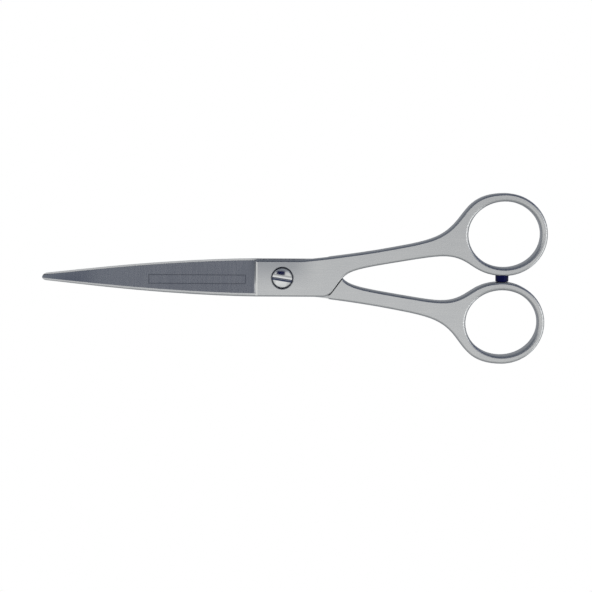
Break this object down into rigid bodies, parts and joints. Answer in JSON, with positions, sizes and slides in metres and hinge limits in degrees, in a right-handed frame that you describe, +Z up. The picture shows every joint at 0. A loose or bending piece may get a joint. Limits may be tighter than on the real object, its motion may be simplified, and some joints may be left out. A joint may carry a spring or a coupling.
{
  "type": "hair cutting shears",
  "caption": "Slim straight hair cutting shears: two lapped steel halves on a slotted pivot screw, oval finger rings and a rubber ring bumper.",
  "frame": {"origin": "on the pivot axis, at the plane of the finger half's outer face, on which the closed shears rest", "axes": "+X from the pivot to the finger rings with the blades along -X, +Y to the thumb ring's side, +Z up to the screw head"},
  "size_m": [0.1776, 0.0602, 0.0055],
  "materials": {
    "satin_steel": "fine satin",
    "polished_steel": "polished",
    "spring_steel": "rolled, oiled",
    "nylon": "as moulded",
    "dark_rubber": "smooth moulded"
  },
  "bodies": {
    "finger_side": {"finger_half": "satin_steel", "glide_washer": "nylon"},
    "thumb_side": {"thumb_half": "satin_steel", "pivot_bush": "nylon", "bumper": "dark_rubber", "bumper_stud": "polished_steel"},
    "tension_screw": {"pivot_screw": "polished_steel", "spring_washer": "spring_steel"}
  },
  "joints": [
    {"name": "blade_pivot", "type": "hinge", "parent": "finger_side", "child": "thumb_side", "pos_m": [0, 0, 0.0026], "axis": [0, 0, 1], "range_deg": [0, 130]},
    {"name": "tension_turn", "type": "hinge", "parent": "finger_side", "child": "tension_screw", "pos_m": [0, 0, 0.0026], "axis": [0, 0, 1], "range_deg": [-90, 90]}
  ]
}
